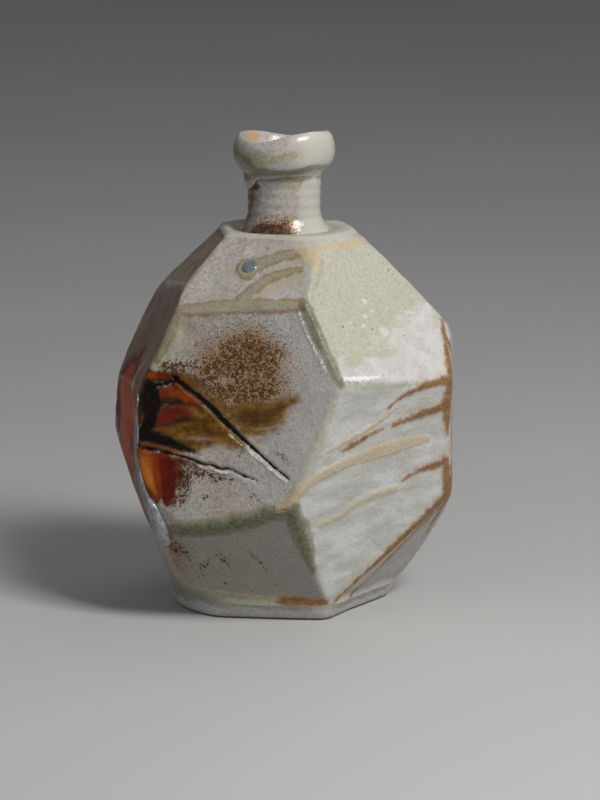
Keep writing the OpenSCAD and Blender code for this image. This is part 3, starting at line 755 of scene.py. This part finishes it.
def make_pool():
    """Glass that filled the hollow between the neck and the shoulder on the front left."""
    azimuth = np.linspace(-62, 14, 60)
    strength = smoothstep(azimuth, -62, -34) * smoothstep(azimuth, 14, -8)
    rings = []
    for a, s in zip(azimuth, strength):
        high = seat_z + 1.9 + 2.6 * s
        outline = np.array([
            (neck_r + 0.9, seat_z + 0.2), (flare_r + 1.1 + 0.5 * s, seat_z - 0.1),
            (flare_r + 1.0 + 0.55 * s, seat_z + 0.35), (flare_r + 0.35 + 0.5 * s, seat_z + 0.75 + 0.3 * s),
            (flare_r - 0.75 + 0.45 * s, seat_z + 1.5 + 0.6 * s),
            (neck_r + 1.1 + 0.3 * s, 0.5 * (high + seat_z + 2.2)), (neck_r + 0.3 + 0.12 * s, high - 0.6),
            (neck_r - 0.4, high), (neck_r - 0.3, seat_z + 1.5),
        ])
        outline[:, 0] = neck_r + (outline[:, 0] - neck_r) * flare_share(a) - 0.2
        flat = heading(a) * outline[:, :1]
        rings.append(np.concatenate([flat, outline[:, 1:]], axis=1))
    rings = np.array(rings)
    rings[..., 2] += 0.1 * ripple(rings, 2.5, 21)
    return tube_mesh("glaze_pool_glass", rings[::-1], "glaze_pool_neck")


# ---------------------------------------------------------------- materials

RAGGED = 2.2           # makes up for noise that keeps close to its middle value


class Glaze:
    """One node material: its colour so far, and short names for the nodes it is built from."""

    def __init__(self, name):
        self.material = bpy.data.materials.new(name)
        self.material.use_nodes = True
        self.tree = self.material.node_tree
        self.tree.nodes.clear()
        self.shader = self.add("ShaderNodeBsdfPrincipled")
        output = self.add("ShaderNodeOutputMaterial")
        self.put(self.shader.outputs["BSDF"], output.inputs["Surface"])
        place = self.add("ShaderNodeTexCoord")
        scale = self.add("ShaderNodeVectorMath", operation="SCALE")
        scale.inputs["Scale"].default_value = 1 / MM
        self.put(place.outputs["Object"], scale.inputs[0])
        self.place = scale.outputs[0]
        self.colour = None

    def add(self, kind, **settings):
        node = self.tree.nodes.new(kind)
        for key, value in settings.items():
            setattr(node, key, value)
        return node

    def put(self, value, socket):
        if isinstance(value, bpy.types.NodeSocket):
            self.tree.links.new(value, socket)
        elif isinstance(value, tuple) and socket.type == "RGBA":
            socket.default_value = (*value, 1)
        else:
            socket.default_value = value

    def math(self, operation, a, b):
        node = self.add("ShaderNodeMath", operation=operation)
        self.put(a, node.inputs[0])
        self.put(b, node.inputs[1])
        return node.outputs[0]

    def times(self, a, b):
        return self.math("MULTIPLY", a, b)

    def plus(self, a, b):
        return self.math("ADD", a, b)

    def either(self, *shares):
        total = shares[0]
        for share in shares[1:]:
            total = self.math("MAXIMUM", total, share)
        return total

    def ramp(self, value, low, high, start=0.0, end=1.0):
        node = self.add("ShaderNodeMapRange", interpolation_type="SMOOTHSTEP")
        self.put(value, node.inputs["Value"])
        for name, number in [("From Min", low), ("From Max", high), ("To Min", start), ("To Max", end)]:
            self.put(number, node.inputs[name])
        return node.outputs["Result"]

    def blend(self, share, low, high):
        node = self.add("ShaderNodeMix", data_type="RGBA")
        self.put(share, node.inputs[0])
        self.put(low, node.inputs[6])
        self.put(high, node.inputs[7])
        return node.outputs[2]

    def lay(self, share, dark, light=None, vary=None, low=0.35, high=0.65):
        """Covers a share of the surface with a colour, or with two that a noise varies between."""
        over = dark if light is None else self.blend(self.ramp(vary, low, high), dark, light)
        self.colour = over if self.colour is None else self.blend(share, self.colour, over)

    def axis(self, index):
        """Millimetres from the bottle's axis: 0 to the right, 1 to the back."""
        node = self.add("ShaderNodeSeparateXYZ")
        self.put(self.place, node.inputs[0])
        return node.outputs[index]

    def noise(self, size, detail=3.0, rough=0.55, shift=0.0, stretch=(1, 1, 1)):
        """Noise with swells of about this many millimetres."""
        place = self.add("ShaderNodeVectorMath", operation="MULTIPLY_ADD")
        self.put(self.place, place.inputs[0])
        place.inputs[1].default_value = stretch
        place.inputs[2].default_value = (shift, 0.7 * shift, -shift)
        node = self.add("ShaderNodeTexNoise")
        self.put(place.outputs[0], node.inputs["Vector"])
        for name, number in [("Scale", 1 / size), ("Detail", detail), ("Roughness", rough)]:
            node.inputs[name].default_value = number
        return node.outputs["Fac"]

    def cells(self, size, shift):
        """Cells this far apart: two random numbers for each, and the distance from its point."""
        place = self.add("ShaderNodeVectorMath", operation="ADD")
        self.put(self.place, place.inputs[0])
        place.inputs[1].default_value = (shift, shift, shift)
        node = self.add("ShaderNodeTexVoronoi")
        self.put(place.outputs[0], node.inputs["Vector"])
        node.inputs["Scale"].default_value = 1 / size
        chance = self.add("ShaderNodeSeparateColor")
        self.put(node.outputs["Color"], chance.inputs["Color"])
        return chance.outputs[0], chance.outputs[1], node.outputs["Distance"]

    def dots(self, size, radius, share, shift):
        """Scattered round specks: cell size, speck radius in cells, and the share of cells with one."""
        chance, other, distance = self.cells(size, shift)
        keep = self.ramp(chance, 1 - share - 0.01, 1 - share + 0.01)
        inside = self.math("SUBTRACT", self.times(other, radius), distance)
        return self.times(self.ramp(inside, -0.02, 0.06), keep)

    def speckle(self, size, crowd, shift):
        """Round grains this far apart that grow and merge as the crowd goes from 0 to 1."""
        chance, _, distance = self.cells(size, shift)
        reach = self.times(crowd, self.ramp(chance, 0, 1, 0.12, 0.82))
        return self.ramp(self.math("SUBTRACT", reach, distance), -0.06, 0.06)

    def depth(self, name):
        node = self.add("ShaderNodeAttribute", attribute_type="GEOMETRY", attribute_name=name)
        return node.outputs["Fac"]

    def mask(self, name, soft, grain=None, jitter=0.0, offset=0.0, strength=1.0):
        """1 inside a painted layer and 0 outside, with an edge this soft and this ragged (mm)."""
        value = self.depth(name)
        if grain is not None:
            shake = self.math("MULTIPLY_ADD", grain, 2 * RAGGED * jitter)
            shake.node.inputs[2].default_value = offset - RAGGED * jitter
            value = self.plus(value, shake)
        return self.ramp(value, -soft, soft, 0.0, strength)

    def bump(self, height, distance, normal=None):
        node = self.add("ShaderNodeBump")
        node.inputs["Distance"].default_value = distance * MM
        node.inputs["Strength"].default_value = 1.0
        self.put(height, node.inputs["Height"])
        if normal is not None:
            self.put(normal, node.inputs["Normal"])
        return node.outputs["Normal"]

    def finish(self, roughness, normal, coat=0.0, coat_rough=0.12, gloss=0.5):
        self.put(self.colour, self.shader.inputs["Base Color"])
        self.put(roughness, self.shader.inputs["Roughness"])
        self.put(normal, self.shader.inputs["Normal"])
        self.shader.inputs["Coat Weight"].default_value = coat
        self.shader.inputs["Coat Roughness"].default_value = coat_rough
        self.shader.inputs["Specular IOR Level"].default_value = gloss
        return self.material


# Glaze and glass colours, linear
STONE_WARM = (0.40, 0.335, 0.285)
STONE_COOL = (0.44, 0.43, 0.40)
STONE_PALE = (0.56, 0.53, 0.48)
OLIVE_GLASS = (0.22, 0.185, 0.10)
OLIVE_EDGE = (0.26, 0.175, 0.08)
GREEN_GLASS = (0.085, 0.088, 0.042)
SAGE_GLASS = (0.33, 0.34, 0.25)
CREAM_GLASS = (0.60, 0.50, 0.33)
IRON_BROWN = (0.30, 0.15, 0.05)
IRON_DARK = (0.055, 0.026, 0.012)
BUFF = (0.25, 0.14, 0.058)
AMBER_GLASS = (0.12, 0.045, 0.005)
GOLDEN = (0.26, 0.135, 0.018)
FLAME_GLASS = (0.46, 0.155, 0.018)
ORANGE_GLASS = (0.28, 0.055, 0.004)
RED_GLASS = (0.085, 0.007, 0.003)
BLACK_GLASS = (0.006, 0.003, 0.002)
RED_CLAY = (0.48, 0.075, 0.012)
PALE_GLAZE = (0.70, 0.69, 0.66)


def ground(g, warm=STONE_WARM, cool=STONE_COOL, lean=0.0):
    """The ash-fired ground that every glazed part shares: mottled greys with iron and feldspar specks."""
    g.broad = g.noise(26, 3, 0.5, 11)
    g.middle = g.noise(6, 4, 0.6, 5)
    g.fine = g.noise(1.1, 4, 0.65, 9)
    g.specks = g.either(g.dots(2.3, 0.16, 0.22, 7), g.dots(5.5, 0.09, 0.3, 17))
    g.lay(None, warm, cool, g.broad, 0.35 - lean, 0.65 - lean)
    g.lay(g.ramp(g.middle, 0.45, 0.75, 0, 0.6), STONE_PALE)
    g.lay(g.ramp(g.fine, 0.40, 0.68, 0.0, 0.6), tuple(0.60 * c for c in warm))
    pepper(g, g.noise(0.42, 2, 0.6, 19), warm)
    g.lay(g.times(g.specks, 0.65), IRON_DARK)


def pepper(g, grain, dark):
    """Fine dark and pale grains, which every glazed area shows."""
    g.lay(g.ramp(grain, 0.53, 0.70, 0.0, 0.42), tuple(0.42 * c for c in dark))
    g.lay(g.ramp(grain, 0.45, 0.30, 0.0, 0.35), PALE_GLAZE)


def roughened(g, height, *finer):
    """Normal of a surface with swells this high, and with finer bumps of (pattern, height) on them."""
    normal = g.bump(g.middle, height)
    for pattern, rise in finer:
        normal = g.bump(pattern, rise, normal)
    return normal


def body_material():
    g = Glaze("ash_glazed_stoneware")
    ground(g)
    middle, fine = g.middle, g.fine
    small = g.noise(0.55, 3, 0.6, 31)
    streaks = g.noise(2.2, 4, 0.65, 41, (1, 1, 3.2))
    flow = g.noise(5, 4, 0.6, 51, (0.35, 0.35, 1))
    rough_edge = g.noise(2.6, 5, 0.7, 71)

    # Painted light and shade by facet: paler where the facets face the light, painted shade where they face
    # left and down, over their own ash tones
    # Paler, cooler right side of the body: painted light, with the glaze's own cooler tone
    g.lay(g.ramp(g.axis(0), -14, 12, 0, 0.65), g.blend(fine, (0.48, 0.47, 0.475), STONE_COOL))
    greenish = g.blend(g.ramp(fine, 0.3, 0.7), (0.44, 0.435, 0.33), (0.56, 0.545, 0.44))
    whitish = g.blend(g.ramp(middle, 0.3, 0.7), (0.57, 0.555, 0.525), (0.68, 0.67, 0.655))
    # White glaze and painted sheen low on the lit facet
    white_glaze_and_sheen = g.mask("white_glaze_and_sheen", 5.0, flow, 12.0)
    # The facet facing the key light painted paler: painted light over its greenish and whitish glaze
    g.lay(g.mask("lit_facet", 1.2, middle, 1.2, strength=0.88), g.blend(white_glaze_and_sheen, greenish, whitish))
    # cool: paler facet on the right, painted light over its own bluish grey; shade and left: painted shade on
    # the facets turned away from the light; under: painted shade on the facet facing down
    for facet, soft, jitter, strength, dark, light, vary, low, high in [
        ("cool", 1.0, 1.2, 0.82, (0.49, 0.49, 0.44), (0.65, 0.66, 0.66), flow, 0.36, 0.66),
        ("shade", 1.0, 1.2, 0.88, (0.13, 0.075, 0.038), (0.27, 0.18, 0.11), middle, 0.3, 0.7),
        ("left", 1.0, 1.2, 0.85, (0.09, 0.05, 0.032), (0.19, 0.125, 0.085), middle, 0.3, 0.7),
        ("under", 0.8, 1.0, 0.7, (0.27, 0.255, 0.215), (0.35, 0.33, 0.285), fine, 0.35, 0.7),
    ]:
        g.lay(g.mask(facet, soft, middle, jitter, strength=strength), dark, light, vary, low, high)
    pepper(g, g.noise(0.7, 4, 0.7, 83), (0.40, 0.37, 0.30))
    g.lay(g.times(g.specks, 0.6), IRON_DARK)

    # Red clay bared by the fire on the left
    g.lay(g.mask("terracotta", 5, middle, 3.0, 4.0, 0.6), (0.20, 0.085, 0.035))
    clay = g.mask("terracotta", 2.0, middle, 2.2)
    maroon = g.blend(g.ramp(middle, 0.35, 0.65), (0.05, 0.008, 0.004), (0.14, 0.022, 0.009))
    fired = g.blend(g.ramp(fine, 0.3, 0.7), (0.34, 0.048, 0.010), RED_CLAY)
    g.lay(clay, g.blend(g.mask("terracotta", 2.5, flow, 3.0, -3.2), maroon, fired))

    # Ash thins to a pale line on every edge
    edge = g.depth("edge")
    g.lay(g.ramp(g.plus(edge, g.times(middle, 1.6)), 0.7, 2.0, 0.55, 0.0), (0.53, 0.51, 0.43))

    # Round the sides and the back, glaze pooled along the edges and thinned in drifts between them
    behind = g.ramp(g.axis(1), 0, 18)
    drift = g.noise(10, 4, 0.6, 57, (0.6, 0.6, 1.3))
    g.lay(g.times(behind, g.ramp(drift, 0.50, 0.64, 0, 0.7)), (0.50, 0.475, 0.40))
    g.lay(g.times(behind, g.ramp(drift, 0.46, 0.36, 0, 0.6)), (0.33, 0.325, 0.25))
    pooled = g.times(behind, g.ramp(g.plus(edge, g.times(rough_edge, 8)), 6.6, 4.2))
    patches = g.noise(17, 2, 0.5, 97)
    green_pool = g.times(pooled, g.ramp(patches, 0.47, 0.56, 0, 0.85))
    g.lay(green_pool, GREEN_GLASS, (0.24, 0.235, 0.145), fine, 0.32, 0.66)
    olive_pool = g.times(pooled, g.ramp(patches, 0.45, 0.38, 0, 0.75))
    g.lay(olive_pool, OLIVE_GLASS, (0.36, 0.32, 0.21), small, 0.35, 0.68)

    # Crawled and run glazes
    g.lay(g.mask("wash", 2.0, rough_edge, 2.6, strength=0.6), (0.36, 0.30, 0.19), (0.49, 0.43, 0.31), fine)
    g.lay(g.mask("sage", 1.0, rough_edge, 1.6, -0.1, 0.75), SAGE_GLASS, (0.47, 0.47, 0.37), fine)
    olive = g.mask("olive", 0.8, rough_edge, 0.9, strength=0.7)
    g.lay(olive, OLIVE_GLASS, (0.34, 0.31, 0.20), small, 0.35, 0.68)
    rim = g.times(g.mask("olive", 0.5, rough_edge, 0.9, 0.15), g.ramp(g.depth("olive"), 0.1, 1.3, 1, 0))
    g.lay(g.times(rim, 0.7), OLIVE_EDGE)
    border = g.times(g.mask("green", 0.7, middle, 1.3, 0.5), g.ramp(g.depth("green"), 0.2, 1.2, 1, 0))
    g.lay(g.times(border, 0.45), OLIVE_EDGE)
    green = g.mask("green", 1.6, g.blend(0.35, middle, rough_edge), 1.5, -0.3, 0.9)
    g.lay(green, GREEN_GLASS, (0.20, 0.205, 0.12), fine, 0.32, 0.66)
    g.lay(g.times(green, g.ramp(small, 0.60, 0.70, 0, 0.7)), (0.05, 0.06, 0.025))
    g.lay(g.mask("cream", 0.9, streaks, 1.3, strength=0.8), (0.46, 0.35, 0.21), CREAM_GLASS, small, 0.3, 0.7)
    g.lay(g.mask("brown", 1.5, rough_edge, 1.3, 0.8, 0.5), (0.52, 0.40, 0.25))
    brown = g.mask("brown", 0.8, rough_edge, 0.8, 0.0, 0.9)
    g.lay(brown, (0.17, 0.075, 0.022), IRON_BROWN, streaks, 0.38, 0.66)
    # Painted glint: white along the raised glaze on two edges
    painted_glint_ridge = g.mask("painted_glint_ridge", 0.2, fine, 0.7, strength=0.9)
    g.lay(painted_glint_ridge, (0.88, 0.87, 0.85))

    # Brown speckle: denser towards the middle of each cloud
    haze = g.ramp(g.plus(g.depth("cloud"), g.times(rough_edge, 9)), 2.0, 11.5)
    g.lay(haze, BUFF, (0.41, 0.28, 0.155), fine)
    thin = g.ramp(g.plus(g.depth("soot"), g.times(rough_edge, 5)), 1.6, 6.6, 0, 0.85)
    sparse = g.ramp(g.depth("cloud"), -13, 4, 0, 0.48)
    crowd = g.either(g.times(haze, 0.92), thin, sparse)
    freckles = g.either(g.speckle(0.62, crowd, 3), g.speckle(0.46, crowd, 23), g.speckle(1.2, thin, 43))
    g.lay(g.times(freckles, 0.93), (0.050, 0.019, 0.007), (0.115, 0.044, 0.014), fine, 0.4, 0.6)

    # The scar
    scar = g.mask("scar", 1.2, rough_edge, 1.8)
    g.lay(scar, (0.018, 0.006, 0.003), (0.15, 0.05, 0.010), flow, 0.36, 0.62)
    amber = g.mask("amber", 1.6, flow, 1.6, 0.2, strength=0.95)
    g.lay(amber, AMBER_GLASS, GOLDEN, rough_edge, 0.36, 0.66)
    deep = g.times(g.ramp(g.plus(g.depth("amber"), g.times(streaks, 6)), 3.6, 6.4), amber)
    g.lay(g.times(deep, 0.75), (0.05, 0.018, 0.005))
    red = g.mask("red", 1.0, rough_edge, 0.9)
    g.lay(red, RED_GLASS, (0.15, 0.014, 0.004), middle, 0.35, 0.7)
    gold = g.mask("gold", 1.7, middle, 0.8, 0.3)
    g.lay(gold, (0.30, 0.045, 0.006), FLAME_GLASS, g.depth("gold"), 0.4, 2.4)
    orange = g.mask("orange", 0.8, rough_edge, 0.9)
    g.lay(orange, (0.08, 0.010, 0.002), ORANGE_GLASS, middle, 0.35, 0.68)
    black = g.mask("black", 0.6, rough_edge, 0.6)
    g.lay(black, BLACK_GLASS)
    # Painted highlight: the raised lips along the cracks, painted pale where they catch the light
    lip = g.mask("lip", 0.2, rough_edge, 0.6)
    g.lay(g.times(lip, 0.9), (0.80, 0.78, 0.75))
    g.lay(g.times(g.mask("crack", 0.16, rough_edge, 0.45), 0.97), (0.010, 0.006, 0.004))
    g.lay(g.mask("pits", 0.15), (0.05, 0.035, 0.022))
    g.lay(g.mask("craters", 0.4, fine, 0.8, strength=0.5), (0.74, 0.73, 0.72))

    glassy = g.either(amber, gold, red, orange, black, scar, painted_glint_ridge, lip)
    glassy = g.either(glassy, g.times(olive, 0.7), g.times(green, 0.6))
    rough = g.math("SUBTRACT", g.ramp(middle, 0.3, 0.75, 0.30, 0.46), g.times(glassy, 0.20))
    rough = g.plus(rough, g.times(g.either(freckles, clay), 0.10))
    return g.finish(rough, roughened(g, 0.5, (fine, 0.14), (g.either(freckles, g.specks), 0.05)), gloss=0.2)


def neck_material(name, inner_tan=False):
    g = Glaze(name)
    ground(g, (0.43, 0.365, 0.335), (0.47, 0.46, 0.41), 0.05)
    middle, fine = g.middle, g.fine
    small = g.noise(0.5, 3, 0.6, 33)
    # Paler right side of the neck and rim: painted light
    g.lay(g.ramp(g.axis(0), -2, 9, 0, 0.7), g.blend(fine, (0.53, 0.52, 0.46), (0.62, 0.61, 0.55)))
    olive = g.mask("olive", 0.8, middle, 1.6, strength=0.65)
    g.lay(olive, OLIVE_GLASS, (0.42, 0.36, 0.21), small)
    # Green glaze, and the painted shade under the rim and round the neck's foot that the green layer carries
    green = g.mask("green", 0.8, middle, 1.4, strength=0.75)
    g.lay(green, GREEN_GLASS, (0.28, 0.27, 0.18), small)
    rust = g.mask("rust", 2.0, middle, 2.5, strength=0.9)
    g.lay(rust, (0.05, 0.018, 0.010), (0.15, 0.075, 0.045), middle, 0.35, 0.7)
    g.lay(g.mask("brown", 1.0, fine, 1.6, 0.4, 0.6), (0.43, 0.31, 0.15))
    brown = g.mask("brown", 0.7, small, 3.4, -0.3, strength=0.95)
    g.lay(brown, (0.035, 0.012, 0.005), (0.26, 0.13, 0.045), fine, 0.42, 0.62)
    g.lay(g.mask("soot", 0.5, fine, 1.0, strength=0.9), IRON_DARK)
    if inner_tan:
        g.lay(g.mask("tan", 0.9, fine, 1.0, strength=0.85), (0.50, 0.32, 0.12))
    glassy = g.either(brown, olive, green)
    rough = g.math("SUBTRACT", g.ramp(middle, 0.3, 0.75, 0.18, 0.34), g.times(glassy, 0.1))
    normal = roughened(g, 0.35, (fine, 0.07), (g.specks, 0.05))
    return g.finish(rough, normal, coat=0.12, coat_rough=0.08, gloss=0.4)


def foot_material():
    g = Glaze("foot_glaze_and_bare_clay")
    ground(g, (0.50, 0.50, 0.49), (0.60, 0.62, 0.62))
    middle, fine = g.middle, g.fine
    small = g.noise(0.5, 3, 0.6, 37)
    green = g.mask("green", 0.6, middle, 1.2, strength=0.75)
    g.lay(green, (0.20, 0.205, 0.15), (0.36, 0.36, 0.29), small, 0.3, 0.7)
    brown = g.mask("brown", 0.4, middle, 1.0, strength=0.9)
    g.lay(brown, (0.12, 0.055, 0.02), (0.24, 0.14, 0.06), fine, 0.35, 0.7)
    rings = g.add("ShaderNodeTexWave", wave_type="RINGS", rings_direction="Z")
    g.put(g.place, rings.inputs["Vector"])
    for name, number in [("Scale", 0.12), ("Distortion", 1.5), ("Detail", 2)]:
        rings.inputs[name].default_value = number
    bare = g.mask("bare", 3.0, middle, 6.0)
    toast = g.blend(g.ramp(g.broad, 0.35, 0.65), (0.34, 0.20, 0.12), (0.46, 0.35, 0.25))
    g.lay(bare, g.blend(g.ramp(fine, 0.4, 0.8, 0, 0.6), toast, (0.20, 0.13, 0.09)))
    rough = g.plus(g.ramp(middle, 0.3, 0.75, 0.26, 0.42), g.times(bare, 0.4))
    normal = g.bump(g.times(rings.outputs["Fac"], bare), 0.15)
    normal = g.bump(fine, 0.1, normal)
    normal = g.bump(g.specks, 0.05, normal)
    return g.finish(rough, normal, gloss=0.3)


def glass_material(name, deep, thin, pale, size=2.4):
    """Thick ash glass: cloudy, with bubbles near the surface and paler veins."""
    g = Glaze(name)
    cloudy = g.noise(size, 4, 0.6, 13)
    veins = g.noise(size * 0.4, 3, 0.6, 23, (1, 1, 0.4))
    bubbles = g.dots(0.9, 0.3, 0.35, 5)
    g.lay(None, deep, thin, cloudy)
    g.lay(g.ramp(veins, 0.55, 0.78, 0, 0.7), pale)
    g.lay(g.times(bubbles, 0.5), pale)
    rough = g.plus(g.ramp(cloudy, 0.3, 0.7, 0.12, 0.24), g.times(bubbles, 0.1))
    return g.finish(rough, g.bump(bubbles, 0.05, g.bump(cloudy, 0.25)), coat=0.7, coat_rough=0.06)


def floor_material():
    g = Glaze("studio_floor")
    haze = g.noise(400, 2, 0.5)
    g.lay(None, (0.49, 0.485, 0.48), (0.52, 0.515, 0.51), haze, 0.3, 0.7)
    return g.finish(0.75, g.bump(haze, 0.01), gloss=0.2)


def wear(piece, material):
    piece.data.materials.clear()
    piece.data.materials.append(material)


# ---------------------------------------------------------------- assembly

wear(make_body(), body_material())
wear(make_slab(), foot_material())
wear(make_neck(), neck_material("neck_ash_glaze"))
wear(make_collar(), neck_material("rim_ash_glaze", inner_tan=True))

wear(glass_run("glaze_run_glass", "glaze_run_side", [
    (-56.5, 70, 0.3, 0.15), (-56, 64, 0.9, 0.5), (-55, 57, 1.2, 0.6), (-53.5, 50, 1.0, 0.5),
    (-51.5, 44, 1.0, 0.6), (-49.5, 38.5, 1.3, 0.9), (-48, 34, 1.2, 0.8),
]), glass_material("silver_ash_glass", (0.10, 0.10, 0.10), (0.22, 0.225, 0.235), (0.50, 0.51, 0.55)))
wear(glass_run("glaze_bead_glass", "glaze_bead_corner", [
    (-48.3, 39, 0.3, 0.2), (-47.8, 36.5, 2.2, 1.2), (-46.8, 32.5, 2.9, 2), (-46, 28.5, 3.2, 2.4),
    (-45.6, 25.5, 2.3, 2.0), (-45.4, 24, 0.6, 0.8),
]), glass_material("pale_bead_glass", (0.17, 0.175, 0.185), (0.34, 0.35, 0.38), (0.68, 0.70, 0.76)))
wear(glass_run("glaze_drop_glass", "glaze_drop_shoulder", [
    (-17.4, 108.4, 0.5, 0.05), (-18.6, 108.3, 1.7, 0.4), (-22.2, 108, 2.5, 0.75), (-25.8, 107.7, 1.8, 0.5),
    (-27.2, 107.6, 0.5, 0.05),
]), glass_material("teal_drop_glass", (0.10, 0.145, 0.15), (0.17, 0.21, 0.20), (0.33, 0.38, 0.36)))
brown_glass = [(0.020, 0.007, 0.003), (0.13, 0.05, 0.014), (0.40, 0.29, 0.15)]
wear(make_pool(), glass_material("brown_pool_glass", *brown_glass, size=1.4))


# ---------------------------------------------------------------- floor, light and camera

def make_floor(half=4.0):
    mesh = bpy.data.meshes.new("studio_floor")
    corners = [(-half, -half, 0), (half, -half, 0), (half, half, 0), (-half, half, 0)]
    mesh.from_pydata(corners, [], [(0, 1, 2, 3)])
    floor = bpy.data.objects.new("studio_floor", mesh)
    bpy.context.scene.collection.objects.link(floor)
    wear(floor, floor_material())


def area_light(name, azimuth, elevation, distance, size, watts, colour):
    """Square soft light aimed at the middle of the bottle."""
    target = Vector((0, 0, 0.07))
    level = math.cos(math.radians(elevation))
    side = Vector((*heading(azimuth) * level, math.sin(math.radians(elevation))))
    light = bpy.data.lights.new(name, "AREA")
    light.shape = "RECTANGLE"
    light.size = light.size_y = size
    light.energy = watts
    light.color = colour
    lamp = bpy.data.objects.new(name, light)
    lamp.location = target + side * distance
    lamp.rotation_euler = (-side).to_track_quat("-Z", "Y").to_euler()
    bpy.context.scene.collection.objects.link(lamp)


def make_world(strength):
    world = bpy.data.worlds.new("studio")
    world.use_nodes = True
    background = world.node_tree.nodes["Background"]
    background.inputs["Color"].default_value = (0.95, 0.96, 1.0, 1)
    background.inputs["Strength"].default_value = strength
    bpy.context.scene.world = world


def make_camera():
    camera = bpy.data.cameras.new("camera")
    camera.lens = 162.8
    camera.sensor_width = 36
    camera.clip_end = 100
    holder = bpy.data.objects.new("camera", camera)
    holder.location = (0, -1.1, 0.277)
    holder.rotation_euler = (math.radians(90 - 11.05), 0, math.radians(-0.26))
    bpy.context.scene.collection.objects.link(holder)
    bpy.context.scene.camera = holder


make_floor()
area_light("key", 42, 46, 0.9, 0.28, 6.8, (1.0, 0.99, 0.97))
area_light("fill", -45, 35, 1.6, 1.2, 1.3, (0.97, 0.98, 1.0))
area_light("back", 150, 55, 1.4, 0.8, 1.4, (1.0, 1.0, 1.0))
make_world(0.155)
make_camera()
bpy.context.scene.view_settings.view_transform = "Standard"
